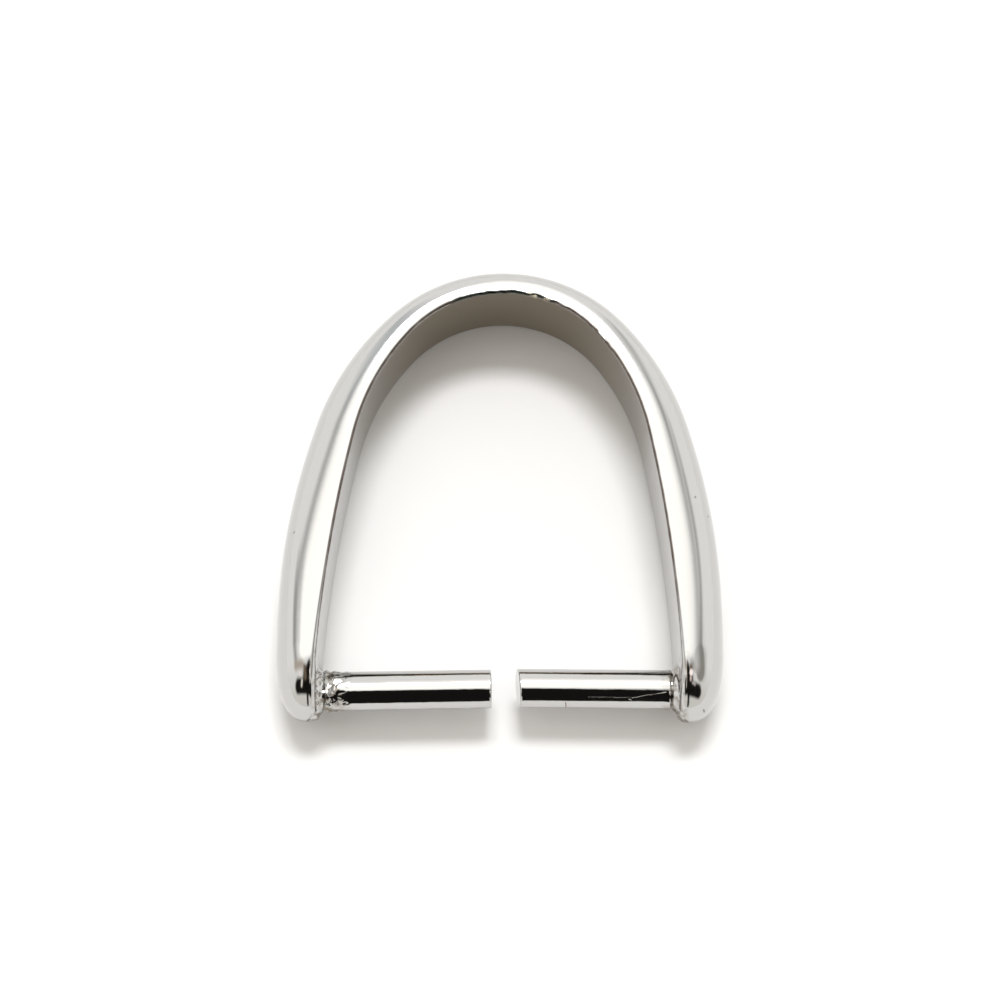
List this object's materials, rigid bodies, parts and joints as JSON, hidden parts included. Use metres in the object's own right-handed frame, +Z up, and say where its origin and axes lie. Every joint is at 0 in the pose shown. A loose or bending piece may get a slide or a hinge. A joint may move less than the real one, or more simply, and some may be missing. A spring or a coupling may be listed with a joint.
{
  "type": "pinch bail finding",
  "caption": "Pinch bail for hanging a drilled pendant: a domed band bent into an arch, with a round peg inside each foot.",
  "frame": {"origin": "on the table, under the middle of the whole casting's box, with the casting lying on its side edge", "axes": "+X from the left foot to the right foot, +Y from the feet to the crown, +Z up from the table across the band's width"},
  "size_m": [0.015, 0.0156, 0.0036],
  "materials": {
    "plated_metal": "bright rhodium or nickel plate over cast brass, polished, with faint scratches"
  },
  "bodies": {
    "root": {"bail": "plated_metal"}
  },
  "joints": []
}
